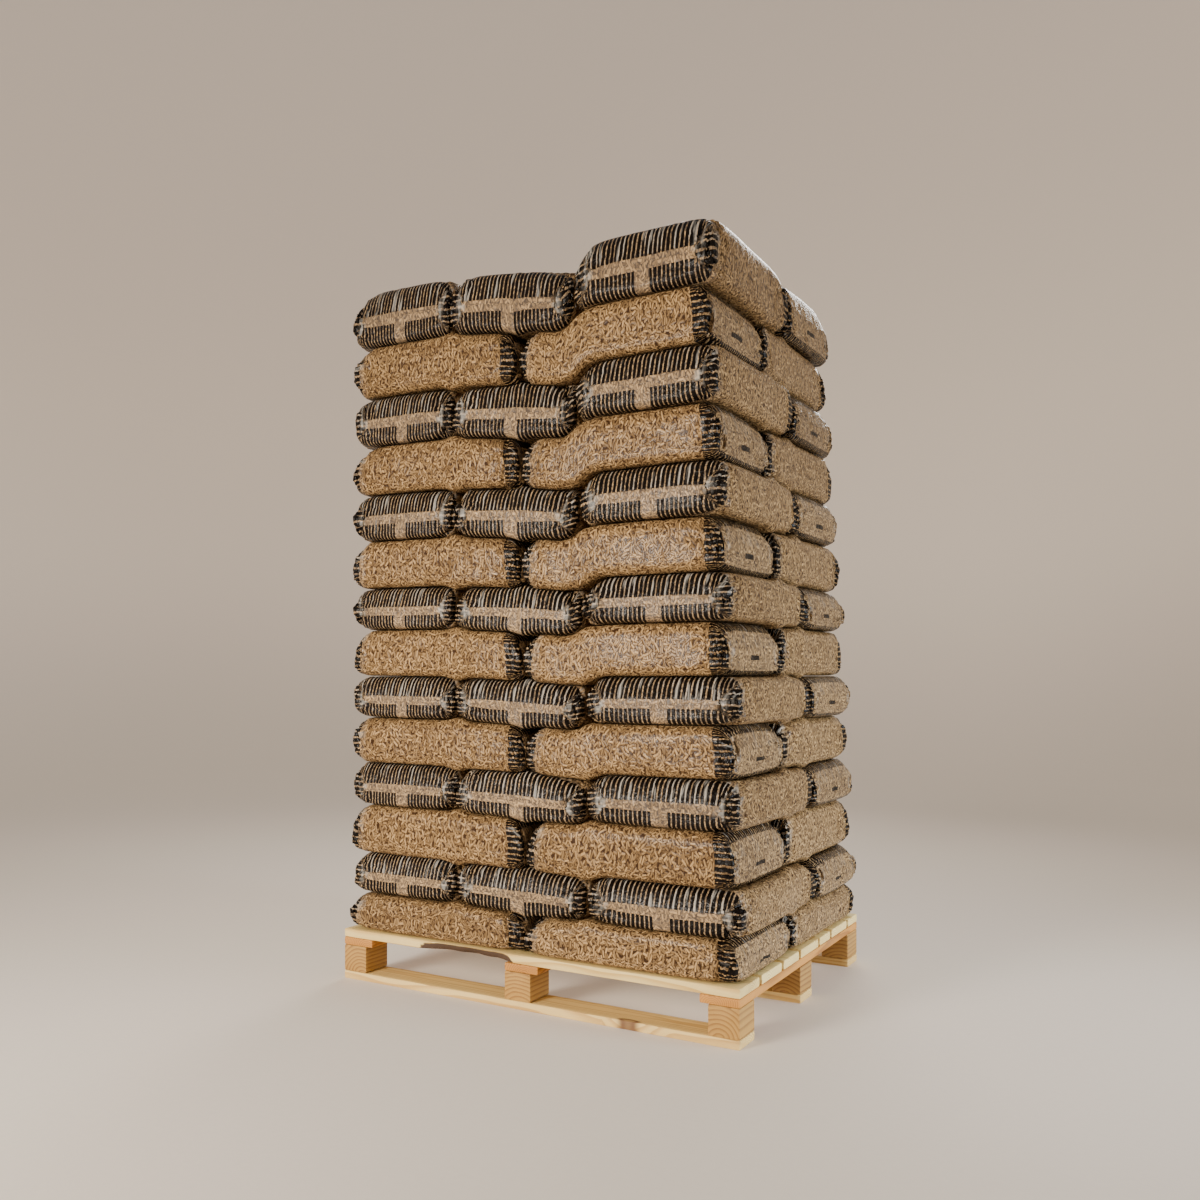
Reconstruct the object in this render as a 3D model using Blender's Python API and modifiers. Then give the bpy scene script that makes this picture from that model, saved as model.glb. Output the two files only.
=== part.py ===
"""A timber block pallet loaded with fourteen layers of filled film sacks, five sacks to a layer.

Metres, +Z up. The origin is on the ground under the middle of the pallet, +X runs along the
long front face and +Y runs from the front of the pallet to its back.
"""

import bmesh
import bpy
from mathutils import Vector

# Pallet timber
PALLET_LENGTH = 1.200
PALLET_DEPTH = 1.000
RUNNER_THICKNESS = 0.023
BLOCK_HEIGHT = 0.075
STRINGER_THICKNESS = 0.022
DECK_THICKNESS = 0.024
RUNNER_WIDTH = 0.100
BLOCK_LENGTH = 0.080
BLOCK_DEPTH = 0.100
STRINGER_WIDTH = 0.102
DECK_WIDTHS = (0.135, 0.148, 0.122, 0.152, 0.096, 0.150, 0.095)
EDGE_WEAR = 0.002

# Clearance between pieces that rest on each other
CONTACT_GAP = 0.0003

# Sack stack: its plan at the bottom, and how much of it is left at the top
STACK_LEFT = -0.597
STACK_FRONT = -0.478
STACK_LENGTH = 1.190
STACK_DEPTH = 0.972
TOP_LENGTH_SHARE = 0.940
TOP_DEPTH_SHARE = 0.980
NARROWING_POWER = 1.5

# Height of each layer, from the pressed bottom sacks to the loose top ones
LAYER_HEIGHTS = (
    0.104, 0.115, 0.140, 0.122, 0.132, 0.119, 0.134,
    0.120, 0.137, 0.135, 0.140, 0.143, 0.144, 0.146,
)
LAYER_COUNT = len(LAYER_HEIGHTS)

# Where sacks part along a row, as shares of the stack's length
LENGTHWISE_SEAMS = (0.500,)
END_ON_SEAMS = (0.310, 0.655)
END_ON_ROW_SHARE = 0.600

# The stack sinks right of its middle, a little more with each layer
SINK_PER_LAYER = 0.0042

# Rounding of a sack's edges, and the grooves between sacks
ROUNDING = 0.050
SHOULDER = 0.012
SHOULDER_DROP_SHARE = 0.20
GROOVE_HALF_WIDTH = 0.038
GROOVE_DEPTH_SHARE = 0.35
NOTCH_DEPTH = 0.034

# Heights of the pallet's tiers
BLOCK_BOTTOM = RUNNER_THICKNESS
STRINGER_BOTTOM = BLOCK_BOTTOM + BLOCK_HEIGHT
DECK_BOTTOM = STRINGER_BOTTOM + STRINGER_THICKNESS
PALLET_HEIGHT = DECK_BOTTOM + DECK_THICKNESS


def clear_scene():
    for thing in list(bpy.data.objects):
        bpy.data.objects.remove(thing, do_unlink=True)


def make_collection(name):
    collection = bpy.data.collections.new(name)
    bpy.context.scene.collection.children.link(collection)
    return collection


def make_material(name, colour, roughness):
    material = bpy.data.materials.new(name)
    material.use_nodes = True
    shader = material.node_tree.nodes["Principled BSDF"]
    shader.inputs["Base Color"].default_value = (*colour, 1.0)
    shader.inputs["Roughness"].default_value = roughness
    shader.inputs["Metallic"].default_value = 0.0
    return material


def add_object(name, mesh, material, collection):
    mesh.materials.append(material)
    thing = bpy.data.objects.new(name, mesh)
    collection.objects.link(thing)
    return thing


def add_timber(name, low, high, material, collection):
    """A sawn piece between two corners, with its sharp edges worn off."""
    low, high = Vector(low), Vector(high)
    solid = bmesh.new()
    bmesh.ops.create_cube(solid, size=1.0)
    bmesh.ops.scale(solid, vec=high - low, verts=solid.verts)
    mesh = bpy.data.meshes.new(name)
    solid.to_mesh(mesh)
    solid.free()
    timber = add_object(name, mesh, material, collection)
    timber.location = (low + high) / 2
    wear = timber.modifiers.new("worn_edges", "BEVEL")
    wear.width = EDGE_WEAR
    wear.segments = 1
    return timber


def spread(width, total):
    """Low sides of three pieces of one width: at both ends and in the middle."""
    return -total / 2, -width / 2, total / 2 - width


def build_runners(material, collection):
    for name, front in zip(("front", "centre", "back"), spread(RUNNER_WIDTH, PALLET_DEPTH)):
        low = (-PALLET_LENGTH / 2, front, 0.0)
        high = (PALLET_LENGTH / 2, front + RUNNER_WIDTH, RUNNER_THICKNESS - CONTACT_GAP)
        add_timber(f"bottom_runner_{name}", low, high, material, collection)


def build_blocks(material, collection):
    """Nine blocks. The middle column stands flush with the left side of its stringer board."""
    left, centre, right = spread(BLOCK_LENGTH, PALLET_LENGTH)
    columns = {"left": left, "centre": -STRINGER_WIDTH / 2, "right": right}
    rows = dict(zip(("front", "centre", "back"), spread(BLOCK_DEPTH, PALLET_DEPTH)))
    for row, front in rows.items():
        for column, start in columns.items():
            low = (start, front, BLOCK_BOTTOM)
            high = (start + BLOCK_LENGTH, front + BLOCK_DEPTH, STRINGER_BOTTOM - CONTACT_GAP)
            add_timber(f"block_{row}_{column}", low, high, material, collection)


def build_stringers(material, collection):
    starts = spread(STRINGER_WIDTH, PALLET_LENGTH)
    for name, start in zip(("left", "centre", "right"), starts):
        low = (start, -PALLET_DEPTH / 2, STRINGER_BOTTOM)
        high = (start + STRINGER_WIDTH, PALLET_DEPTH / 2, DECK_BOTTOM - CONTACT_GAP)
        add_timber(f"stringer_board_{name}", low, high, material, collection)


def build_deck(material, collection):
    """Seven boards of mixed width, front to back, with equal gaps between them."""
    gap = (PALLET_DEPTH - sum(DECK_WIDTHS)) / (len(DECK_WIDTHS) - 1)
    front = -PALLET_DEPTH / 2
    for number, width in enumerate(DECK_WIDTHS, start=1):
        low = (-PALLET_LENGTH / 2, front, DECK_BOTTOM)
        high = (PALLET_LENGTH / 2, front + width, PALLET_HEIGHT - CONTACT_GAP)
        add_timber(f"deck_board_{number}", low, high, material, collection)
        front += width + gap


def shrink(level, top_share):
    """Share of the bottom plan that is left at the joint above this many layers."""
    return 1.0 - (1.0 - top_share) * (level / LAYER_COUNT) ** NARROWING_POWER


def joint_height(level):
    return PALLET_HEIGHT + sum(LAYER_HEIGHTS[:level])


def sink(share, level):
    """How far the joint above this many layers has sunk at a share of the stack's length."""
    groove = GROOVE_HALF_WIDTH / STACK_LENGTH
    left_sack, right_sack = END_ON_SEAMS
    bends = (
        (0.0, 0.0),
        (left_sack - groove, 0.10),
        (0.5, 0.60),
        (right_sack - groove, 1.00),
        (right_sack + groove, 0.05),
        (1.0, 0.0),
    )
    for (start, low), (end, high) in zip(bends, bends[1:]):
        if share <= end:
            part = low + (high - low) * (share - start) / (end - start)
            return part * SINK_PER_LAYER * level
    return 0.0


def joint_point(share_x, share_y, level):
    """A point of the surface between two layers, from its shares of the stack's plan."""
    length = STACK_LENGTH * shrink(level, TOP_LENGTH_SHARE)
    depth = STACK_DEPTH * shrink(level, TOP_DEPTH_SHARE)
    return Vector((
        STACK_LEFT + share_x * length,
        STACK_FRONT + share_y * depth,
        joint_height(level) - sink(share_x, level),
    ))


def layer_rows(number):
    """Each row of a layer, front first: its end as a share of the depth, and its seams."""
    if number % 2:
        return ((1.0 - END_ON_ROW_SHARE, LENGTHWISE_SEAMS), (1.0, END_ON_SEAMS))
    return ((END_ON_ROW_SHARE, END_ON_SEAMS), (1.0, LENGTHWISE_SEAMS))


def near(first, second):
    return abs(first - second) < 1e-4


def on_seam(share_x, share_y, number):
    """Whether a point of the plan lies where two sacks of the layer meet."""
    (row_end, front_seams), (_, back_seams) = layer_rows(number)
    if near(share_y, row_end):
        return True
    seams = front_seams if share_y < row_end else back_seams
    return any(near(share_x, seam) for seam in seams)


def side_of(share):
    """-1 on the low side of the plan, 1 on the high side, 0 between them."""
    if near(share, 0.0):
        return -1
    return 1 if near(share, 1.0) else 0


def layer_point(share_x, share_y, share_z, number):
    """Where a corner of the cut block goes on the rounded, grooved layer."""
    bottom = joint_point(share_x, share_y, number - 1)
    top = joint_point(share_x, share_y, number) - Vector((0, 0, CONTACT_GAP))
    point = bottom.lerp(top, share_z)
    outwards = Vector((side_of(share_x), side_of(share_y), 0))
    seam = on_seam(share_x, share_y, number)
    on_rim = near(share_z, 0.5)
    if outwards.length:
        inset = (0.0 if on_rim else SHOULDER) + (NOTCH_DEPTH if seam else 0.0)
        point -= outwards * inset
    if not on_rim:
        drop = SHOULDER_DROP_SHARE if outwards.length else 0.0
        drop = GROOVE_DEPTH_SHARE if seam else drop
        point.z += (bottom.z - top.z if share_z > 0.5 else top.z - bottom.z) * drop
    return point


def cut_lines(seams, span):
    """Shares where the block is cut: the start of its roundings, and both sides of each seam."""
    rounding = ROUNDING / span
    groove = GROOVE_HALF_WIDTH / span
    lines = [rounding, 1.0 - rounding]
    for seam in seams:
        lines += [seam - groove, seam, seam + groove]
    return sorted(lines)


def cut_block(lines_x, lines_y):
    """A unit block cut through at each line, and once at half its height."""
    block = bmesh.new()
    bmesh.ops.create_cube(block, size=1.0)
    bmesh.ops.translate(block, vec=(0.5, 0.5, 0.5), verts=block.verts)
    planes = [((share, 0, 0), (1, 0, 0)) for share in lines_x]
    planes += [((0, share, 0), (0, 1, 0)) for share in lines_y]
    planes.append(((0, 0, 0.5), (0, 0, 1)))
    for place, normal in planes:
        geometry = block.verts[:] + block.edges[:] + block.faces[:]
        bmesh.ops.bisect_plane(block, geom=geometry, plane_co=place, plane_no=normal)
    return block


def build_layer(number, material, collection):
    """Five sacks of one layer as one solid, with grooves where they part."""
    row_end = layer_rows(number)[0][0]
    lines_x = cut_lines(LENGTHWISE_SEAMS + END_ON_SEAMS, STACK_LENGTH)
    lines_y = cut_lines((row_end,), STACK_DEPTH)
    layer = cut_block(lines_x, lines_y)
    for vertex in layer.verts:
        vertex.co = layer_point(*vertex.co, number)
    name = f"sack_layer_{number:02d}"
    mesh = bpy.data.meshes.new(name)
    layer.to_mesh(mesh)
    layer.free()
    mesh.shade_smooth()
    return add_object(name, mesh, material, collection)


def main():
    clear_scene()
    collection = make_collection("pallet_of_sacks")
    deck_wood = make_material("deck_wood", (0.72, 0.56, 0.34), 0.75)
    stringer_wood = make_material("stringer_wood", (0.60, 0.33, 0.14), 0.75)
    block_wood = make_material("block_wood", (0.50, 0.33, 0.18), 0.80)
    runner_wood = make_material("runner_wood", (0.68, 0.50, 0.28), 0.75)
    sack_film = make_material("sack_film", (0.33, 0.24, 0.15), 0.35)
    build_runners(runner_wood, collection)
    build_blocks(block_wood, collection)
    build_stringers(stringer_wood, collection)
    build_deck(deck_wood, collection)
    for number in range(1, LAYER_COUNT + 1):
        build_layer(number, sack_film, collection)


main()
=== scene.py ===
"""The looks of a timber pallet loaded with fourteen layers of film sacks of wood pellets.

Metres, +Z up, in the frame of the CAD model. Each sack is blown up by cloth simulation inside a
crate of flat walls, and copies of a few such sacks are pressed into their places in the stack.
"""

import math
import random

import bmesh
import bpy
import numpy as np
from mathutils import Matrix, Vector, noise


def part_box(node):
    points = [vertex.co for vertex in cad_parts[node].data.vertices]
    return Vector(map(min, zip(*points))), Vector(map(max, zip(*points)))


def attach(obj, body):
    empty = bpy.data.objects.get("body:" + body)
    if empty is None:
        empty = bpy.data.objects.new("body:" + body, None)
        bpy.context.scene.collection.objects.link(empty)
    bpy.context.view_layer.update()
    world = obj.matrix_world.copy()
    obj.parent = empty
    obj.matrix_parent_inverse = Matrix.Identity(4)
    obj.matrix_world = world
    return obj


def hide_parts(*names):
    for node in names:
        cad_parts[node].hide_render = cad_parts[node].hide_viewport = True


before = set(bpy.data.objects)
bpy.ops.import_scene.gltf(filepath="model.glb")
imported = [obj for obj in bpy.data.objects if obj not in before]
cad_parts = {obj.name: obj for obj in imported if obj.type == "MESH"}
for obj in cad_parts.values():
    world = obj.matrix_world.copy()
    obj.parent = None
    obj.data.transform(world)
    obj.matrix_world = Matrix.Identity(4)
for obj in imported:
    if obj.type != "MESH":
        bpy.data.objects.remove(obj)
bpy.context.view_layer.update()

# The stack's rows, as shares of its plan
LAYER_COUNT = 14
LENGTHWISE_SEAM = 0.500
END_ON_SEAMS = (0.310, 0.655)
END_ON_ROW_SHARE = 0.600

# The stack sinks right of its middle, a little more with each layer
SINK_PER_LAYER = 0.0042
SINK_GROOVE_SHARE = 0.032
SINK_BLUR_SHARE = 0.022
SINK_BLUR_STEPS = 5

# How far a layer's right end stands out from the stack's even slope
RIGHT_STAND_OUT = (
    0.001, 0.016, -0.005, 0.009, -0.002, 0.014, -0.005,
    0.008, -0.007, 0.000, -0.010, 0.002, -0.014, 0.002,
)
CORNER_SACK_FORWARD = 0.008

# A sack's film, laid flat: two sheets joined round their edges
FILM_LENGTH = 0.690
FILM_WIDTH = 0.486
FINE_STEP = 0.006
FINE_STEP_ACROSS = 0.0065
END_ZONE = 0.110
SIDE_ZONE = 0.090
COARSE_STEP = 0.016
COARSE_STEP_ACROSS = 0.019
SHEETS_APART = 0.0008
SHEET_CROWN = 0.0040
SHEET_RIPPLE = 0.0006

# The crate that a sack is blown up in, and the way over and round the sack that comes out
CRATE_LENGTH = 0.600
CRATE_WIDTH = 0.400
CRATE_HEIGHT = 0.125
CRATE_WALL = 0.060
CRATE_SLAB = (1.4, 1.2, 0.4)
FILM_CLEARANCE = 0.002
FILM_GROWTH = 0.26
HALF_SACK = (CRATE_LENGTH + CRATE_HEIGHT) / 2
QUARTER_GIRTH = (CRATE_WIDTH + CRATE_HEIGHT) / 2
CLOTH_FRAMES = 45
SACK_KINDS = (
    {"pressure": 14.0, "stiffness": 30.0, "bending": 0.05, "shear": 1.0},
    {"pressure": 18.0, "stiffness": 40.0, "bending": 0.06, "shear": 1.5},
    {"pressure": 11.0, "stiffness": 28.0, "bending": 0.04, "shear": 0.8},
)

# How sacks lie against each other
CONTACT_GAP = 0.0004
TOP_CROWN = 0.012
TOP_RISE = 0.016
FULLNESS = 0.88
LEAN_BACK = 0.022
RIDGE_DROP = 0.14
BOTTOM_FULLNESS = 0.60
BOTTOM_SPREAD = 0.018
GROOVE_BULGE = 0.010
GROOVE_BULGE_WIDTH = 0.026
SACK_SHIFT = 0.0035
SACK_TURN = math.radians(0.6)
LUMP_HEIGHT = 0.0040
LUMP_SPAN = 0.150

# Print on the filled sack, and where painted highlights lie on its film: distances over it from the
# middle of each end, and round it from the middle of its top or underside
BAR_PITCH = 0.0122
BAR_SHARE = 0.72
NEAR_COMB = (0.014, 0.094)
FAR_COMB = (0.050, 0.114)
COMB_GAP = 0.043
EYE_MARK_PLACE = 0.013
EYE_MARK_SIZE = (0.070, 0.011)
EAR_REACH = (0.026, 0.044)
SHEEN_START = (0.013, 0.019)
NEAR_END_FADE = (0.075, 0.125)
END_FACE_EDGE = (0.010, 0.030)
TUCK_EDGE = (0.010, 0.028)
PRINT_WOBBLE = 0.0040
CALMING_ROUNDS = 6

# The pellets that show through the film, with painted shade on their edges, in the gaps between
# them and on the deeper ones
PELLET_RADIUS = 0.0029
PELLET_LENGTH = 0.0180
PELLET_TIP = 0.0012
PELLET_SPACING = 0.0118
PELLET_LAYER_SHIFTS = (0.731, 1.617, 2.293)
PELLET_LAYER_SHADE = 0.24

# Each wood's pale and dark colour, the pitch of its rings and its share of knots
DECK_WOOD = ((0.90, 0.71, 0.30), (0.60, 0.38, 0.11), 0.0080, 0.20)
STRINGER_WOOD = ((0.58, 0.26, 0.048), (0.27, 0.095, 0.014), 0.0060, 0.10)
BLOCK_WOOD = ((0.48, 0.265, 0.060), (0.21, 0.092, 0.019), 0.0120, 0.05)
RUNNER_WOOD = ((0.80, 0.58, 0.22), (0.50, 0.28, 0.075), 0.0080, 0.20)

# Pallet timber
EDGE_ROUNDING = 0.0030
RIM_STEP_SHARE = 0.35
STATION_STEP = 0.020
ROWS_ACROSS = 7
SHARP_EDGE = math.radians(40)
BOARD_WARP = 0.0011
SAW_RIPPLE = 0.0003
WANE_PLACE = (-0.330, -0.020)
WANE_DEPTH = 0.020
WANE_RISE = 0.009
BARK_SPREAD = 7.0

# The photograph's camera
IMAGE_SIZE = 1200.0
FOCAL_PIXELS = 1138.7
OPTICAL_CENTRE = (500.0, 673.7)
CAMERA_PLACE = (1.558, -3.044, 0.882)
CAMERA_TURN = math.radians(32.53)
SENSOR_WIDTH = 36.0

# The studio backdrop
FLOOR_RADIUS = 7.0
SWEEP_RADIUS = 4.0
SWEEP_STEPS = 16
WALL_HEIGHT = 12.0
BACKDROP_SEGMENTS = 96
FLOOR_FADE = (-0.4, 2.6)
WALL_FADE = (1.5, 7.0)
BACKDROP_GLOW = 0.29

SEED = 71


class Wire:
    """A socket of a material's nodes. An expression on wires adds the nodes that work it out."""

    def __init__(self, tree, socket=None):
        self.tree = tree
        self.socket = socket

    def node(self, kind, settings=(), sockets=(), output=0):
        """Adds a node: its settings first, then the value or wire of each socket named."""
        made = self.tree.nodes.new(kind)
        for name, value in dict(settings).items():
            setattr(made, name, value)
        for name, value in dict(sockets).items():
            self.connect(value, made.inputs[name])
        return Wire(self.tree, made.outputs[output])

    def connect(self, value, socket):
        if isinstance(value, Wire):
            self.tree.links.new(value.socket, socket)
        else:
            socket.default_value = value

    def beside(self, output):
        """Another output of the node that this one comes from."""
        return Wire(self.tree, self.socket.node.outputs[output])

    def math(self, operation, *values):
        return self.node("ShaderNodeMath", {"operation": operation}, dict(enumerate(values)))

    def vector(self, operation, *values):
        return self.node("ShaderNodeVectorMath", {"operation": operation}, dict(enumerate(values)))

    def __add__(self, other):
        return self.math("ADD", self, other)

    def __radd__(self, other):
        return self.math("ADD", other, self)

    def __sub__(self, other):
        return self.math("SUBTRACT", self, other)

    def __rsub__(self, other):
        return self.math("SUBTRACT", other, self)

    def __mul__(self, other):
        return self.math("MULTIPLY", self, other)

    def __rmul__(self, other):
        return self.math("MULTIPLY", other, self)

    def __truediv__(self, other):
        return self.math("DIVIDE", self, other)

    def __pow__(self, other):
        return self.math("POWER", self, other)

    def __mod__(self, other):
        return self.math("FLOORED_MODULO", self, other)

    def __abs__(self):
        return self.math("ABSOLUTE", self)

    def __lt__(self, other):
        return self.math("LESS_THAN", self, other)

    def __gt__(self, other):
        return self.math("GREATER_THAN", self, other)

    def at_most(self, other):
        return self.math("MINIMUM", self, other)

    def at_least(self, other):
        return self.math("MAXIMUM", self, other)

    def root(self):
        return self.math("SQRT", self)

    def rise(self, start, end):
        """0 up to start, 1 from end, and a smooth slope between them."""
        settings = {"interpolation_type": "SMOOTHSTEP"}
        return self.node("ShaderNodeMapRange", settings, {0: self, 1: start, 2: end})

    def between(self, start, end):
        return (self > start) * (self < end)

    def blend(self, first, second):
        """The first colour where this is 0, the second where it is 1."""
        return self.node("ShaderNodeMix", {"data_type": "RGBA"}, {0: self, 6: first, 7: second}, 2)

    def parts(self):
        split = self.node("ShaderNodeSeparateXYZ", (), {0: self})
        return split, split.beside(1), split.beside(2)

    def shifted(self, amount):
        return self.vector("ADD", self, amount)

    def scaled(self, amount):
        return self.vector("MULTIPLY", self, amount)

    def clouds(self, scale, detail=2.0, roughness=0.5):
        sockets = {"Vector": self, "Scale": scale, "Detail": detail, "Roughness": roughness}
        return self.node("ShaderNodeTexNoise", (), sockets)

    def bump(self):
        """The surface normal over this height, which is in metres."""
        return self.node("ShaderNodeBump", (), {"Strength": 1.0, "Distance": 1.0, "Height": self})


def paint(red, green, blue):
    return red, green, blue, 1.0


def new_material(name):
    """A material with an empty Principled shader, and the wire that its nodes start from."""
    material = bpy.data.materials.new(name)
    material.use_nodes = True
    shader = material.node_tree.nodes["Principled BSDF"]
    return material, shader, Wire(material.node_tree)


def pellet_layer(film, shift):
    """Short rods lying every way: the roundness of their backs, and a random tone for each."""
    place = film.shifted((shift, 0.37 * shift, 0.0))
    cells = place.node(
        "ShaderNodeTexVoronoi",
        {"voronoi_dimensions": "2D"},
        {"Vector": place, "Scale": 1.0 / PELLET_SPACING, "Randomness": 0.8},
        "Position",
    )
    chance = cells.node("ShaderNodeSeparateColor", (), {0: cells.beside("Color")})
    offset = place.vector("SUBTRACT", place, cells)
    turned = offset.node(
        "ShaderNodeVectorRotate",
        {"rotation_type": "Z_AXIS"},
        {"Vector": offset, "Angle": chance * (2.0 * math.pi)},
    )
    along, across, _ = turned.parts()
    back = (1.0 - (across / PELLET_RADIUS) ** 2.0).at_least(0.0)
    half_length = (0.65 + 0.35 * chance.beside(1)) * (PELLET_LENGTH / 2)
    inside = 1.0 - abs(along).rise(half_length - PELLET_TIP, half_length)
    return back * inside, chance.beside(2)


def pellets(film):
    """Roundness and tone of pellets heaped against the film, the nearer hiding the deeper. The
    deeper ones' roundness is cut down, as painted shade.
    """
    back, tone = pellet_layer(film, 0.0)
    for number, shift in enumerate(PELLET_LAYER_SHIFTS, start=1):
        next_back, next_tone = pellet_layer(film, shift)
        gap = back < 0.02
        tone = tone + gap * (next_tone - tone)
        back = back.at_least(gap * next_back * (1.0 - PELLET_LAYER_SHADE * number))
    return back, tone


def printed(along, girth):
    """Where the black print is: bars in a comb round each end, and the filling machine's mark."""
    from_far = 2 * HALF_SACK - along
    bars = (girth / BAR_PITCH + BAR_SHARE / 2) % 1.0 < BAR_SHARE
    from_middle = 2 * QUARTER_GIRTH - girth
    kept = from_middle > COMB_GAP / 2
    combs = (along.between(*NEAR_COMB) * kept).at_least(from_far.between(*FAR_COMB))
    width, height = EYE_MARK_SIZE
    mark = (abs(from_far - EYE_MARK_PLACE) < height / 2) * (from_middle < width / 2)
    return (bars * combs).at_least(mark)


def make_sack_film():
    material, shader, start = new_material("printed_film_over_pellets")
    film = start.node("ShaderNodeUVMap", {"uv_map": "film"})
    own = start.node("ShaderNodeAttribute", {"attribute_name": "sack_number"}, (), "Fac")
    place = start.node("ShaderNodeAttribute", {"attribute_name": "print_place"}, (), "Vector")
    along, girth, ear = place.parts()
    from_end = along.at_most(2 * HALF_SACK - along)
    own_shift = own.node("ShaderNodeCombineXYZ", (), {0: own * 1.37, 1: own * 0.91, 2: own})
    spot = film.shifted(own_shift)

    back, tone = pellets(spot)
    chance = own.node("ShaderNodeTexWhiteNoise", {"noise_dimensions": "1D"}, {"W": own * 1.0})
    shade = 0.8 * tone + 0.2 * chance
    light = shade.blend(paint(0.130, 0.074, 0.030), paint(0.51, 0.325, 0.147))
    # Painted shade: each pellet darkens towards its edges, into near-black gaps between the pellets
    wood = back.rise(-0.05, 0.92).blend(paint(0.036, 0.016, 0.006), light)

    creases = spot.clouds(34.0, 3.0, 0.6)
    streaks = spot.scaled((12.0, 80.0, 1.0)).clouds(1.0, 2.0)
    striped = 1.0 - (along > HALF_SACK)
    # Painted highlights: silvery sheen in streaks near the ends, stronger on the upper sheet that
    # faces the light, and glints on the tucked ears. With a faint film haze near the ends they
    # whiten the pellets' colour.
    upper = 1.0 - girth.rise(0.90 * QUARTER_GIRTH, 1.02 * QUARTER_GIRTH)
    near_end = 1.0 - from_end.rise(*NEAR_END_FADE)
    sheen = near_end * from_end.rise(*SHEEN_START) * (0.2 + 0.8 * upper)
    sheen = sheen * (0.2 + 0.8 * striped) * streaks.rise(0.44, 0.64)
    tip = ear * (1.0 - from_end.rise(*EAR_REACH)) * (0.35 + 0.65 * striped)
    glint = tip * (creases * 0.6 + streaks * 0.4).rise(0.40, 0.58)
    haze_and_highlight = (sheen * 0.62).at_least(glint * 0.70).at_least(near_end * (0.03 + 0.07 * striped))
    hazy_highlit_pellets = haze_and_highlight.blend(wood, paint(0.52, 0.485, 0.42))

    wobble = (creases - 0.5) * PRINT_WOBBLE
    ink = printed(along + wobble, girth + wobble)
    # Painted highlights on the black ink too: pale streaks near the ends of the upper sheet, and
    # glints at the ears
    ink_shine = (streaks.rise(0.60, 0.72) * near_end * upper * 0.50).at_least(glint * 0.5)
    ink_colour = ink_shine.blend(paint(0.0045, 0.0030, 0.0020), paint(0.46, 0.44, 0.40))
    colour = ink.blend(hazy_highlit_pellets, ink_colour)

    wrinkles = near_end * streaks * 0.0035 + creases * 0.0018
    lumps = back.root() * 0.00050 * (1.0 - 0.7 * tip)
    start.connect(colour, shader.inputs["Base Color"])
    start.connect(0.17 + 0.18 * creases, shader.inputs["Roughness"])
    start.connect((wrinkles + lumps).bump(), shader.inputs["Normal"])
    shader.inputs["Specular IOR Level"].default_value = 0.11
    return material


def make_wood(name, pale, dark, ring_pitch, knot_share):
    """Sawn softwood, cut from rings round a heart that lies off the board, with a few knots."""
    material, shader, start = new_material(name)
    grain = start.node("ShaderNodeAttribute", {"attribute_name": "grain"}, (), "Vector")
    drift = grain.scaled((1.1, 4.0, 4.0)).clouds(1.6, 2.0)
    along, across, through = grain.parts()
    knot_place = grain.scaled((3.2, 9.0, 1.0))
    knots = knot_place.node(
        "ShaderNodeTexVoronoi",
        {"voronoi_dimensions": "2D"},
        {"Vector": knot_place, "Scale": 1.0, "Randomness": 1.0},
        "Distance",
    )
    chance = knots.node("ShaderNodeSeparateColor", (), {0: knots.beside("Color")})
    chosen = chance < knot_share
    knot = (1.0 - knots.rise(0.07, 0.13)) * chosen
    swirl = (1.0 - knots.rise(0.0, 0.42)) * chosen
    radius = ((across * across) + (through * through)).root()
    rings = ((radius + drift * 0.030 + swirl * 0.020) / ring_pitch) % 1.0
    late = rings.rise(0.35, 0.92) * (1.0 - rings.rise(0.93, 1.0))
    fibres = grain.scaled((14.0, 620.0, 620.0)).clouds(1.0, 3.0, 0.6)
    stain = grain.scaled((3.0, 8.0, 8.0)).clouds(1.0, 3.0, 0.55)
    own = start.node("ShaderNodeAttribute", {"attribute_name": "piece_tone"}, (), "Fac")
    tone = late * 0.62 + fibres * 0.40 + stain * 0.60 + own * 0.35 - 0.50
    sawn = tone.at_least(0.0).at_most(1.0).blend(paint(*pale), paint(*dark))
    knot_ring = knot * (1.0 - (1.0 - knots.rise(0.03, 0.08)) * 0.35)
    timber = knot_ring.blend(sawn, paint(0.16, 0.070, 0.026))
    grime = grain.shifted((3.0, 1.0, 0.0)).clouds(7.0, 4.0, 0.6).rise(0.56, 0.78)
    soiled = (grime * 0.35).blend(timber, paint(0.20, 0.135, 0.085))
    bark = start.node("ShaderNodeAttribute", {"attribute_name": "bark"}, (), "Fac")
    rough_bark = (bark * 1.3 - fibres * 0.5).rise(0.0, 0.25)
    start.connect(rough_bark.blend(soiled, paint(0.060, 0.030, 0.014)), shader.inputs["Base Color"])
    start.connect(0.62 + 0.22 * fibres, shader.inputs["Roughness"])
    relief = fibres * 0.0005 + late * 0.00022 + stain * 0.0005
    start.connect(relief.bump(), shader.inputs["Normal"])
    return material


def add_piece(name, mesh, material, slot, *nodes):
    """Puts a mesh in the scene as a piece of the stored object, in place of CAD nodes."""
    mesh.materials.append(material)
    piece = bpy.data.objects.new(name, mesh)
    bpy.context.scene.collection.objects.link(piece)
    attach(piece, "root")
    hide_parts(*nodes)
    return piece


def spaced(length, fine, zone, coarse):
    """Places over a length round zero, close together near both ends."""
    half = length / 2
    edge = np.linspace(-half, zone - half, round(zone / fine) + 1)
    middle = np.linspace(zone - half, half - zone, round((length - 2 * zone) / coarse) + 1)
    return np.concatenate([edge, middle[1:-1], -edge[::-1]])


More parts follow.
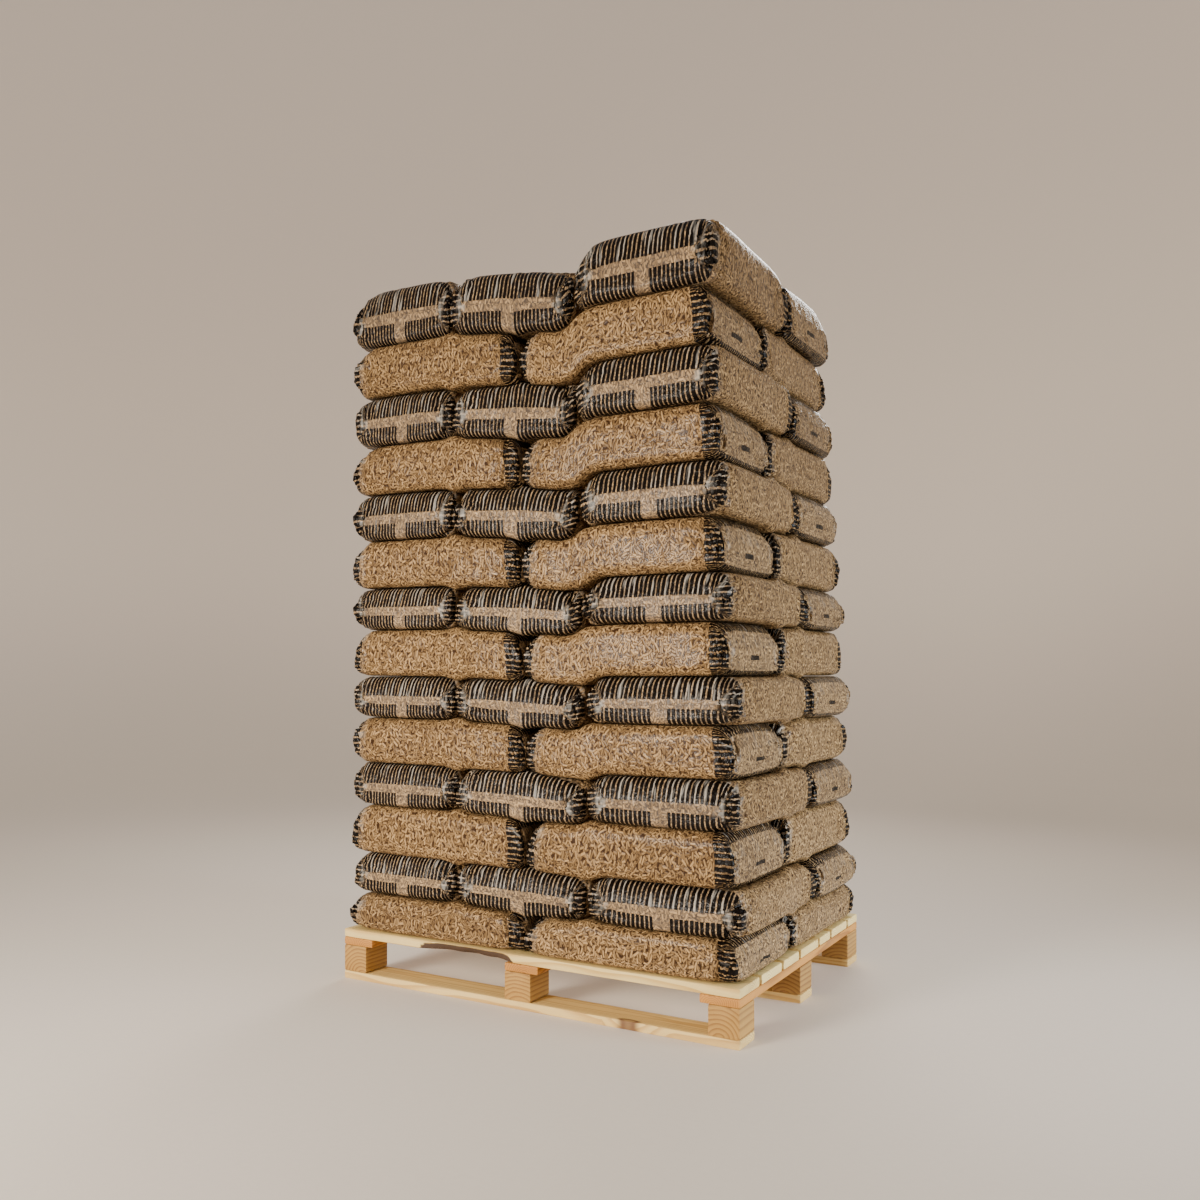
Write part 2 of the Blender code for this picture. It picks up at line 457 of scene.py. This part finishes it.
def flat_film(name, draw):
    """An empty sack as two sheets joined round their edges, with a map of its film in metres."""
    lengths = spaced(FILM_LENGTH, FINE_STEP, END_ZONE, COARSE_STEP)
    widths = spaced(FILM_WIDTH, FINE_STEP_ACROSS, SIDE_ZONE, COARSE_STEP_ACROSS)
    shrunk = 1.0 / (1.0 + FILM_GROWTH)
    sack = bmesh.new()
    film = sack.loops.layers.uv.new("film")
    upper, lower = {}, {}
    for i, x in enumerate(lengths):
        for j, y in enumerate(widths):
            inside = 0 < i < len(lengths) - 1 and 0 < j < len(widths) - 1
            crown = math.cos(math.pi * x / FILM_LENGTH) * math.cos(math.pi * y / FILM_WIDTH)
            lift = (SHEETS_APART + SHEET_CROWN * crown) if inside else 0.0
            ripple = draw.uniform(-SHEET_RIPPLE, SHEET_RIPPLE) if inside else 0.0
            upper[i, j] = sack.verts.new((x * shrunk, y * shrunk, lift + ripple))
            lower[i, j] = upper[i, j]
            if inside:
                lower[i, j] = sack.verts.new((x * shrunk, y * shrunk, ripple - lift))
    for i in range(len(lengths) - 1):
        for j in range(len(widths) - 1):
            ring = ((i, j), (i + 1, j), (i + 1, j + 1), (i, j + 1))
            for sheet, corners in ((upper, ring), (lower, ring[::-1])):
                face = sack.faces.new([sheet[corner] for corner in corners])
                for loop, (a, b) in zip(face.loops, corners):
                    across = widths[b] + FILM_WIDTH / 2
                    if sheet is lower:
                        across = -across if widths[j] < -0.001 else 2 * FILM_WIDTH - across
                    loop[film].uv = (lengths[a] + FILM_LENGTH / 2, across)
    mesh = bpy.data.meshes.new(name)
    sack.to_mesh(mesh)
    sack.free()
    return mesh


def add_crate():
    """Six flat walls round the middle of the scene that press a swelling sack into shape."""
    spans = (CRATE_LENGTH, CRATE_WIDTH, CRATE_HEIGHT)
    walls = []
    for axis, span in enumerate(spans):
        for side in (-1, 1):
            slab = bmesh.new()
            bmesh.ops.create_cube(slab, size=1.0)
            size = Vector(CRATE_SLAB)
            size[axis] = CRATE_WALL
            place = Vector((0.0, 0.0, 0.0))
            place[axis] = side * (span + CRATE_WALL) / 2
            bmesh.ops.scale(slab, vec=size, verts=slab.verts)
            bmesh.ops.translate(slab, vec=place, verts=slab.verts)
            mesh = bpy.data.meshes.new("crate_wall")
            slab.to_mesh(mesh)
            slab.free()
            wall = bpy.data.objects.new("crate_wall", mesh)
            bpy.context.scene.collection.objects.link(wall)
            wall.modifiers.new("press", "COLLISION")
            wall.collision.thickness_outer = FILM_CLEARANCE
            wall.collision.cloth_friction = 1.0
            walls.append(wall)
    return walls


def remove_objects(things):
    for thing in things:
        bpy.data.objects.remove(thing, do_unlink=True)


def blow_up(mesh, kind):
    """Fills one film sack in the crate, and returns its mesh as it ends up."""
    scene = bpy.context.scene
    sack = bpy.data.objects.new("sack_being_filled", mesh)
    scene.collection.objects.link(sack)
    scene.frame_start = 1
    scene.frame_end = CLOTH_FRAMES
    cloth = sack.modifiers.new("cloth", "CLOTH")
    film = cloth.settings
    film.quality = 6
    film.mass = 0.1
    film.tension_stiffness = kind["stiffness"]
    film.compression_stiffness = kind["stiffness"]
    film.shear_stiffness = kind["shear"]
    film.bending_stiffness = kind["bending"]
    film.tension_damping = 5.0
    film.compression_damping = 5.0
    film.shear_damping = 5.0
    film.bending_damping = 0.5
    film.air_damping = 2.0
    film.use_pressure = True
    film.uniform_pressure_force = kind["pressure"]
    film.effector_weights.gravity = 0.0
    film.shrink_min = -FILM_GROWTH
    cloth.point_cache.frame_start = 1
    cloth.point_cache.frame_end = CLOTH_FRAMES
    cloth.collision_settings.distance_min = FILM_CLEARANCE
    for number in range(1, CLOTH_FRAMES + 1):
        scene.frame_set(number)
    seen = sack.evaluated_get(bpy.context.evaluated_depsgraph_get())
    filled = bpy.data.meshes.new_from_object(seen)
    scene.frame_set(1)
    remove_objects([sack])
    return filled


def calmed(mesh, places):
    """Points of a mesh with its creases smoothed away, as far out on each axis as they were."""
    ends = np.empty(len(mesh.edges) * 2, dtype=int)
    mesh.edges.foreach_get("vertices", ends)
    first, second = ends.reshape(-1, 2).T
    neighbours = np.bincount(ends, minlength=len(places))[:, None]
    calm = places.copy()
    for _ in range(CALMING_ROUNDS):
        total = np.zeros_like(calm)
        np.add.at(total, first, calm[second])
        np.add.at(total, second, calm[first])
        calm = (calm + total / neighbours) / 2
    return calm * np.abs(places).max(axis=0) / np.abs(calm).max(axis=0)


def make_master_sacks():
    """Filled sacks as meshes, with their points and calmed points in shares of their half sizes."""
    walls = add_crate()
    masters = []
    for number, kind in enumerate(SACK_KINDS):
        mesh = blow_up(flat_film(f"filled_sack_{number}", random.Random(SEED + number)), kind)
        places = np.empty(len(mesh.vertices) * 3)
        mesh.vertices.foreach_get("co", places)
        places = places.reshape(-1, 3)
        half = (CRATE_LENGTH / 2, CRATE_WIDTH / 2, np.abs(places[:, 2]).max())
        masters.append((mesh, places / half, calmed(mesh, places) / half))
    remove_objects(walls)
    return masters


def layer_node(number):
    return f"sack_layer_{number:02d}"


def joint_height(level):
    """Height of the joint above this many layers, where it hasn't sunk."""
    node = layer_node(level) if level else "deck_board_1"
    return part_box(node)[1].z


def sink_share(share):
    """How much of its full sink the stack has at a share of its length."""
    left_sack, right_sack = END_ON_SEAMS
    places = (0.0, left_sack - SINK_GROOVE_SHARE, 0.5, right_sack - SINK_GROOVE_SHARE,
              right_sack + SINK_GROOVE_SHARE, 1.0)
    depths = (0.0, 0.10, 0.60, 1.00, 0.05, 0.0)
    return np.interp(share, places, depths)


def sunk(share, level):
    """Depth that the joint above this many layers has sunk, without the corners of its outline."""
    steps = np.linspace(-SINK_BLUR_SHARE, SINK_BLUR_SHARE, SINK_BLUR_STEPS)
    return SINK_PER_LAYER * level * np.mean([sink_share(share + step) for step in steps], axis=0)


def is_odd(number):
    return number % 2 == 1


def seams_at(number, deep):
    """The share of the depth where a layer's rows part, and which points are in its end-on row."""
    end_on_in_front = not is_odd(number)
    row_end = END_ON_ROW_SHARE if end_on_in_front else 1.0 - END_ON_ROW_SHARE
    in_front = deep < row_end
    return row_end, in_front == end_on_in_front


def groove_bulge(share, deep, number, span):
    """How far film swells into the grooves of a layer, at shares of the stack's plan."""
    if not 1 <= number <= LAYER_COUNT:
        return np.zeros_like(share)
    row_end, end_on = seams_at(number, deep)
    width, depth = span
    distances = np.where(
        end_on,
        np.minimum(abs(share - END_ON_SEAMS[0]), abs(share - END_ON_SEAMS[1])),
        abs(share - LENGTHWISE_SEAM),
    ) * width
    distances = np.minimum(distances, abs(deep - row_end) * depth)
    return GROOVE_BULGE * np.exp(-((distances / GROOVE_BULGE_WIDTH) ** 2))


def sack_places(number):
    """Each sack of a layer: its name, whether it lies lengthwise, and its shares of the plan."""
    left, right = END_ON_SEAMS
    end_on = (("left", 0.0, left), ("middle", left, right), ("right", right, 1.0))
    lengthwise = (("left", 0.0, LENGTHWISE_SEAM), ("right", LENGTHWISE_SEAM, 1.0))
    if is_odd(number):
        split = 1.0 - END_ON_ROW_SHARE
        rows = (("front", 0.0, split, lengthwise), ("back", split, 1.0, end_on))
    else:
        split = END_ON_ROW_SHARE
        rows = (("front", 0.0, split, end_on), ("back", split, 1.0, lengthwise))
    for row, near, far, sacks in rows:
        for column, start, end in sacks:
            yield f"{row}_{column}", sacks is lengthwise, (start, end, near, far)


def lumps(points, sack_number):
    """Gentle unevenness of a sack's sides, the same in the same place for every run."""
    place = Vector((3.1 * sack_number, 1.7 * sack_number, 0.0))
    return np.array([noise.noise_vector((Vector(point) + place) / LUMP_SPAN) for point in points])


def sack_ground(lengthwise, plan, number):
    """The left, right, front and back of a sack's place, with the stack's own unevenness."""
    low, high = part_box(layer_node(number))
    start, end, near, far = plan
    left = low.x + (high.x - low.x) * start
    right = low.x + (high.x - low.x) * end
    front = low.y + (high.y - low.y) * near
    back = low.y + (high.y - low.y) * far
    if end == 1.0:
        right += RIGHT_STAND_OUT[number - 1]
    if end == 1.0 and near == 0.0 and not lengthwise:
        front -= CORNER_SACK_FORWARD
        back -= CORNER_SACK_FORWARD
    if number == 1 and near == 0.0:
        front -= BOTTOM_SPREAD
    return left, right, front, back


def press_sack(shares, lengthwise, plan, number, sack_number, draw):
    """Points of a filled sack pressed into its place in the stack."""
    left, right, front, back = sack_ground(lengthwise, plan, number)
    middle_x = (left + right) / 2 + draw.uniform(-SACK_SHIFT, SACK_SHIFT)
    middle_y = (front + back) / 2 + draw.uniform(-SACK_SHIFT, SACK_SHIFT)
    turn = draw.uniform(-SACK_TURN, SACK_TURN)
    along, across, height = shares.T
    power = np.where(height < 0.0, BOTTOM_FULLNESS if number == 1 else FULLNESS, FULLNESS)
    up = np.sign(height) * np.abs(height) ** power
    up = up - RIDGE_DROP * (1.0 - up ** 2)
    lean = LEAN_BACK * np.clip(up - 0.1, 0.0, 1.0) * -along ** 3
    if lengthwise:
        x, y = along * (right - left) / 2 + lean, across * (back - front) / 2
    else:
        x, y = -across * (right - left) / 2, along * (back - front) / 2 + lean
    points = np.empty_like(shares)
    points[:, 0] = middle_x + x * math.cos(turn) - y * math.sin(turn)
    points[:, 1] = middle_y + x * math.sin(turn) + y * math.cos(turn)
    low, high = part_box(layer_node(number))
    span = (high.x - low.x, high.y - low.y)
    share = (points[:, 0] - low.x) / span[0]
    deep = (points[:, 1] - low.y) / span[1]
    floor = joint_height(number - 1) - sunk(share, number - 1)
    roof = joint_height(number) - sunk(share, number)
    if number == 1:
        floor = np.full_like(floor, joint_height(0))
    else:
        floor -= groove_bulge(share, deep, number - 1, span)
    if number == LAYER_COUNT:
        roof += TOP_RISE + TOP_CROWN * (1.0 - along ** 4) * (1.0 - across ** 4)
    else:
        roof += groove_bulge(share, deep, number + 1, span)
    points[:, 2] = floor + CONTACT_GAP + (roof - floor - 2 * CONTACT_GAP) * (up + 1.0) / 2
    free = 1.0 - np.abs(up)[:, None] ** 4
    points += lumps(points, sack_number) * LUMP_HEIGHT * free * (1.0, 1.0, 0.35)
    return points


def smooth_step(values, start, end):
    part = np.clip((values - start) / (end - start), 0.0, 1.0)
    return part * part * (3.0 - 2.0 * part)


def print_places(shares):
    """Where each point is over a filled sack: from its ends, round its girth, and in its ears.

    The ears are the side film that is tucked in at each end, in a triangle from corner to weld.
    """
    along, across, height = shares.T
    half_height = CRATE_HEIGHT / 2
    from_side = CRATE_WIDTH / 2 * np.clip(1.0 - np.abs(across), 0.0, 1.0)
    from_top = half_height * np.clip(1.0 - np.abs(height), 0.0, 1.0)
    from_end = CRATE_LENGTH / 2 * np.clip(1.0 - np.abs(along), 0.0, 1.0)
    on_end = 1.0 - smooth_step(from_end, *END_FACE_EDGE)
    off_edge = smooth_step(np.maximum(from_side, from_top), *TUCK_EDGE)
    in_ear = (from_side < from_top).astype(float)
    tuck = np.where(in_ear > 0.0, from_side, -from_top) * off_edge
    girth = CRATE_WIDTH / 2 + from_top - from_side + tuck
    girth = np.where(height < 0.0, 2 * QUARTER_GIRTH - girth, girth)
    reach = half_height + from_end - on_end * np.minimum(from_side, from_top)
    reach = np.where(along > 0.0, 2 * HALF_SACK - reach, reach)
    return np.stack([reach, girth, in_ear * on_end], axis=1)


def build_sacks(material):
    masters = make_master_sacks()
    draw = random.Random(SEED)
    sack_number = 0
    for number in range(1, LAYER_COUNT + 1):
        for place, lengthwise, plan in sack_places(number):
            sack_number += 1
            master, shares, calm_shares = masters[draw.randrange(len(masters))]
            mesh = master.copy()
            mirror = np.array([1, draw.choice((1, -1)), draw.choice((1, -1))])
            if mirror.prod() < 0:
                mesh.flip_normals()
            points = press_sack(shares * mirror, lengthwise, plan, number, sack_number, draw)
            mesh.vertices.foreach_set("co", points.ravel())
            own = mesh.attributes.new("sack_number", "FLOAT", "POINT")
            own.data.foreach_set("value", np.full(len(points), sack_number, dtype=float))
            place_over = mesh.attributes.new("print_place", "FLOAT_VECTOR", "POINT")
            place_over.data.foreach_set("vector", print_places(calm_shares * mirror).ravel())
            mesh.shade_smooth()
            name = f"sack_{number:02d}_{place}"
            mesh.name = name
            sack = add_piece(name, mesh, material, "sack_film", layer_node(number))


def outline(width, thickness):
    """A rectangle with round corners about zero, with spare points along its wide sides."""
    corners = []
    radius = EDGE_ROUNDING
    for sign_x, sign_z, start in ((1, -1, -90), (1, 1, 0), (-1, 1, 90), (-1, -1, 180)):
        middle = Vector((sign_x * (width / 2 - radius), sign_z * (thickness / 2 - radius)))
        for step in range(3):
            angle = math.radians(start + 45 * step)
            corners.append(middle + radius * Vector((math.cos(angle), math.sin(angle))))
    top = [corners[5].lerp(corners[6], part / ROWS_ACROSS) for part in range(1, ROWS_ACROSS)]
    bottom = [corners[11].lerp(corners[0], part / ROWS_ACROSS) for part in range(1, ROWS_ACROSS)]
    return corners[:6] + top + corners[6:12] + bottom


def stations(length):
    """Places along a board: a worn rim at each end, and even steps between."""
    rim = EDGE_ROUNDING
    steps = max(2, round((length - 2 * rim) / STATION_STEP))
    inner = [rim + (length - 2 * rim) * part / steps for part in range(steps + 1)]
    return [0.0, rim * RIM_STEP_SHARE] + inner + [length - rim * RIM_STEP_SHARE, length]


def rim_inset(place, length):
    """How far a board's section pulls in at a place along it, to round its worn ends."""
    rim = EDGE_ROUNDING
    from_end = min(place, length - place)
    if from_end >= rim:
        return 0.0
    return rim - math.sqrt(max(0.0, rim * rim - (rim - from_end) ** 2))


def build_timber(name, material, slot, number, wane=False):
    """A sawn piece with worn edges, a little warp and its own grain, in place of its CAD node."""
    low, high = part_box(name)
    size = high - low
    centre = (low + high) / 2
    axis = 0 if size.x >= size.y else 1
    width = size.y if axis == 0 else size.x
    length = size[axis]
    section = outline(width, size.z)
    draw = random.Random(SEED * 100 + number)
    heart = Vector((draw.uniform(-0.4, 0.4) * width, -draw.uniform(0.4, 1.2) * size.z))
    shift = Vector((draw.uniform(0, 9), draw.uniform(-9, 9), draw.uniform(-9, 9)))
    solid = bmesh.new()
    grain = solid.verts.layers.float_vector.new("grain")
    bark = solid.verts.layers.float.new("bark")
    rings = []
    for place in stations(length):
        inset = rim_inset(place, length)
        ring = []
        for point in section:
            x = point.x - math.copysign(min(inset, abs(point.x)), point.x)
            z = point.y - math.copysign(min(inset, abs(point.y)), point.y)
            spot = Vector((place, point.x, point.y)) + shift
            warp = noise.noise_vector(spot * 5.0) * BOARD_WARP
            ripple = noise.noise(Vector((place * 90.0, point.x * 9.0, number))) * SAW_RIPPLE
            x -= abs(warp.x) * math.copysign(1.0, point.x) * (abs(point.x) > width / 2 - 0.001)
            z -= (abs(warp.y) + abs(ripple)) * (1.0 if point.y > 0 else -0.4)
            waney = wane_share(place - length / 2) if wane and point.x < -0.3 * width else 0.0
            lower = waney * (0.5 - z / size.z)
            x += WANE_DEPTH * lower
            z += WANE_RISE * lower * (point.x < 0.01 - width / 2)
            flat = Vector((place - length / 2, x, z))
            if axis == 1:
                flat = Vector((-x, place - length / 2, z))
            vertex = solid.verts.new(centre + flat)
            vertex[grain] = (place + shift.x, point.x - heart.x, point.y - heart.y)
            vertex[bark] = min(1.0, BARK_SPREAD * lower)
            ring.append(vertex)
        rings.append(ring)
    for first, second in zip(rings, rings[1:]):
        for k in range(len(section)):
            following = (k + 1) % len(section)
            solid.faces.new((first[k], first[following], second[following], second[k]))
    solid.faces.new(rings[0][::-1])
    solid.faces.new(rings[-1])
    bmesh.ops.recalc_face_normals(solid, faces=solid.faces)
    mesh = bpy.data.meshes.new(name + "_timber")
    solid.to_mesh(mesh)
    solid.free()
    mesh.shade_smooth()
    mesh.set_sharp_from_angle(angle=SHARP_EDGE)
    piece_tone = mesh.attributes.new("piece_tone", "FLOAT", "POINT")
    piece_tone.data.foreach_set("value", np.full(len(mesh.vertices), draw.random()))
    add_piece(name + "_timber", mesh, material, slot, name)


def wane_share(place):
    """How much of a board's lower front edge is bark instead of sawn wood, at a place along it."""
    start, end = WANE_PLACE
    inside = math.sin(math.pi * min(1.0, max(0.0, (place - start) / (end - start))))
    return max(0.0, inside) * (0.75 + 0.5 * noise.noise(Vector((place * 22.0, 3.0, 1.0))))


def build_pallet():
    deck = make_wood("pale_deck_wood", *DECK_WOOD)
    stringer = make_wood("orange_stringer_wood", *STRINGER_WOOD)
    block = make_wood("brown_block_wood", *BLOCK_WOOD)
    runner = make_wood("pale_runner_wood", *RUNNER_WOOD)
    finishes = (
        ("bottom_runner", runner, "runner_wood"),
        ("block", block, "block_wood"),
        ("stringer_board", stringer, "stringer_wood"),
        ("deck_board", deck, "deck_wood"),
    )
    for number, name in enumerate(sorted(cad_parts)):
        for start, material, slot in finishes:
            if name.startswith(start):
                build_timber(name, material, slot, number, wane=name == "deck_board_1")


def make_backdrop():
    """A pale studio floor that curves up into a wall all round, with nothing printed on it. It
    glows with its own tint, as painted light; its wall is tinted paler than its floor, as painted
    light, and darker higher up, as painted shade.
    """
    material, shader, start = new_material("pale_backdrop")
    place = start.node("ShaderNodeTexCoord", (), (), "Object")
    speckle = place.clouds(60.0, 4.0, 0.6)
    _, _, height = place.parts()
    floor = speckle.blend(paint(0.62, 0.550, 0.470), paint(0.66, 0.585, 0.500))
    # Painted shade: the wall's tint darkens from 1.5 m up to 7 m
    wall = height.rise(*WALL_FADE).blend(paint(0.86, 0.755, 0.645), paint(0.78, 0.685, 0.585))
    tint = (height + 0.05 * speckle).rise(*FLOOR_FADE).blend(floor, wall)
    start.connect(tint, shader.inputs["Base Color"])
    # The backdrop glows with its tint: painted light, though it is no lamp
    start.connect(tint, shader.inputs["Emission Color"])
    shader.inputs["Emission Strength"].default_value = BACKDROP_GLOW
    start.connect(0.80 + 0.1 * speckle, shader.inputs["Roughness"])
    steps = [math.pi / 2 * step / SWEEP_STEPS for step in range(SWEEP_STEPS + 1)]
    profile = [(FLOOR_RADIUS * share, 0.0) for share in (0.0, 0.3, 0.6)]
    profile += [
        (FLOOR_RADIUS + SWEEP_RADIUS * math.sin(angle), SWEEP_RADIUS * (1.0 - math.cos(angle)))
        for angle in steps
    ]
    profile.append((FLOOR_RADIUS + SWEEP_RADIUS, WALL_HEIGHT))
    bowl = bmesh.new()
    line = [bowl.verts.new((radius, 0.0, height)) for radius, height in profile]
    edges = [bowl.edges.new(pair) for pair in zip(line, line[1:])]
    bmesh.ops.spin(
        bowl, geom=line + edges, cent=(0, 0, 0), axis=(0, 0, 1), angle=2 * math.pi,
        steps=BACKDROP_SEGMENTS, use_merge=True,
    )
    bmesh.ops.remove_doubles(bowl, verts=bowl.verts, dist=0.001)
    bmesh.ops.recalc_face_normals(bowl, faces=bowl.faces)
    mesh = bpy.data.meshes.new("studio_backdrop")
    bowl.to_mesh(mesh)
    bowl.free()
    mesh.shade_smooth()
    mesh.materials.append(material)
    backdrop = bpy.data.objects.new("studio_backdrop", mesh)
    bpy.context.scene.collection.objects.link(backdrop)


def add_light(name, place, target, size, power, colour, spread=180.0):
    lamp = bpy.data.lights.new(name, "AREA")
    lamp.shape = "DISK"
    lamp.size = size
    lamp.energy = power
    lamp.color = colour
    lamp.spread = math.radians(spread)
    light = bpy.data.objects.new(name, lamp)
    light.location = place
    light.visible_camera = False
    light.rotation_euler = (Vector(target) - Vector(place)).to_track_quat("-Z", "Y").to_euler()
    bpy.context.scene.collection.objects.link(light)


def light_studio():
    """A warm key in front, a cool lamp to the right and a lamp behind, with a soft sky over all."""
    add_light("key_light", (-1.2, -4.8, 1.5), (0.0, 0.0, 0.3), 1.5, 100.0, (1.0, 0.93, 0.84), 95.0)
    add_light("right_light", (4.2, 0.4, 0.6), (0.5, 0.0, 0.2), 2.0, 42.0, (0.80, 0.90, 1.0), 65.0)
    add_light("back_light", (-1.0, 5.0, 4.0), (0.0, 0.0, 1.4), 3.0, 60.0, (1.0, 0.97, 0.92), 90.0)
    world = bpy.data.worlds.new("studio_walls")
    world.use_nodes = True
    sky = world.node_tree.nodes["Background"]
    sky.inputs["Color"].default_value = paint(0.92, 0.93, 0.95)
    sky.inputs["Strength"].default_value = 0.25
    bpy.context.scene.world = world


def place_camera():
    """The photograph's camera: level, and its lens axis off the middle of the frame."""
    lens = bpy.data.cameras.new("photo_camera")
    lens.sensor_width = SENSOR_WIDTH
    lens.lens = FOCAL_PIXELS * SENSOR_WIDTH / IMAGE_SIZE
    lens.shift_x = (IMAGE_SIZE / 2 - OPTICAL_CENTRE[0]) / IMAGE_SIZE
    lens.shift_y = (OPTICAL_CENTRE[1] - IMAGE_SIZE / 2) / IMAGE_SIZE
    lens.clip_start = 0.05
    lens.clip_end = 200.0
    camera = bpy.data.objects.new("photo_camera", lens)
    camera.location = CAMERA_PLACE
    camera.rotation_euler = (math.pi / 2, 0.0, CAMERA_TURN)
    bpy.context.scene.collection.objects.link(camera)
    bpy.context.scene.camera = camera


# Blender seeds vector noise from the clock unless it is given a seed
noise.seed_set(SEED)
place_camera()
light_studio()
make_backdrop()
build_pallet()
build_sacks(make_sack_film())
